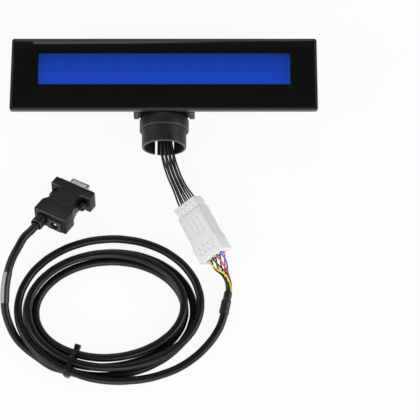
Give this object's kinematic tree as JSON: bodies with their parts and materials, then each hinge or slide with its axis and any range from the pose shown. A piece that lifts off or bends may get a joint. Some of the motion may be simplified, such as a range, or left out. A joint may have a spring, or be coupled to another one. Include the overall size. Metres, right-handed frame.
{
  "type": "customer pole display",
  "caption": "Customer pole display: wide blue character window in a black head that tilts on a spigot neck, with its wire harness and a coiled, tied serial cable with a screw-lock plug.",
  "frame": {"origin": "on the floor, under the middle of the head and neck without the cable", "axes": "+X to the right of the face along the window's length, +Y towards the head's top, +Z out of the face"},
  "size_m": [0.2337, 0.2606, 0.038],
  "materials": {
    "rim_plastic": "satin moulded",
    "panel_acrylic": "polished, black printed border",
    "foam": "open-cell foam",
    "black_steel": "blacked sheet",
    "display_blue": "polarised blue",
    "light_guide": "clear",
    "board_green": "solder mask",
    "screw_steel": "zinc plated",
    "black_nylon": "moulded",
    "capacitor_sleeve": "shrunk sleeve",
    "ivory_nylon": "moulded",
    "wire_black": "extruded vinyl",
    "housing_plastic": "fine spark texture",
    "neck_plastic": "satin moulded",
    "connector_nylon": "natural nylon",
    "tinned_brass": "tinned",
    "core_vinyl": "one colour on each wire",
    "shrink_sleeve": "shrunk",
    "cable_vinyl": "extruded vinyl, semi-gloss",
    "tie_nylon": "moulded",
    "label_film": "bare film",
    "hood_plastic": "fine texture",
    "shell_nickel": "nickel plated",
    "contact_gold": "plated",
    "jack_plastic": "moulded",
    "pin_nickel": "nickel plated"
  },
  "bodies": {
    "base": {"neck": "neck_plastic", "pivot_pins": "screw_steel", "friction_washers": "black_nylon", "lead_wires": "wire_black", "lead_terminals": "tinned_brass", "receptacle_housing": "connector_nylon", "plug_housing": "connector_nylon", "core_terminals": "tinned_brass", "core_wires": "core_vinyl", "heat_shrink": "shrink_sleeve", "cable_right_run": "cable_vinyl", "cable_coil": "cable_vinyl", "cable_left_run": "cable_vinyl", "cable_tie": "tie_nylon", "cable_label": "label_film", "cable_boot": "cable_vinyl", "hood_top": "hood_plastic", "hood_bottom": "hood_plastic", "d_shell": "shell_nickel", "contact_block": "jack_plastic", "contacts": "contact_gold", "dc_jack": "jack_plastic", "dc_jack_pin": "pin_nickel"},
    "head": {"front_bezel": "rim_plastic", "front_lens": "panel_acrylic", "lcd_gasket": "foam", "lcd_frame": "black_steel", "lcd_glass": "display_blue", "lcd_backlight": "light_guide", "lcd_board": "board_green", "lcd_screws": "screw_steel", "board_header": "black_nylon", "controller_board": "board_green", "controller_chips": "black_nylon", "capacitors": "capacitor_sleeve", "controller_screws": "screw_steel", "wire_header": "ivory_nylon", "board_leads": "wire_black", "rear_housing": "housing_plastic", "housing_screws": "screw_steel"},
    "jackscrew_left": {"jackscrew_left": "black_nylon"},
    "jackscrew_right": {"jackscrew_right": "black_nylon"}
  },
  "joints": [
    {"name": "tilt", "type": "hinge", "parent": "base", "child": "head", "pos_m": [0, -0.01085, 0.0189], "axis": [-1, 0, 0], "range_deg": [0, 35]},
    {"name": "jackscrew_left_turn", "type": "hinge", "parent": "base", "child": "jackscrew_left", "pos_m": [-0.07643, -0.06605, 0.0078], "axis": [0.5, 0.788, -0.3591], "continuous": true},
    {"name": "jackscrew_right_turn", "type": "hinge", "parent": "base", "child": "jackscrew_right", "pos_m": [-0.05477, -0.07743, 0.01298], "axis": [0.5, 0.788, -0.3591], "continuous": true}
  ]
}
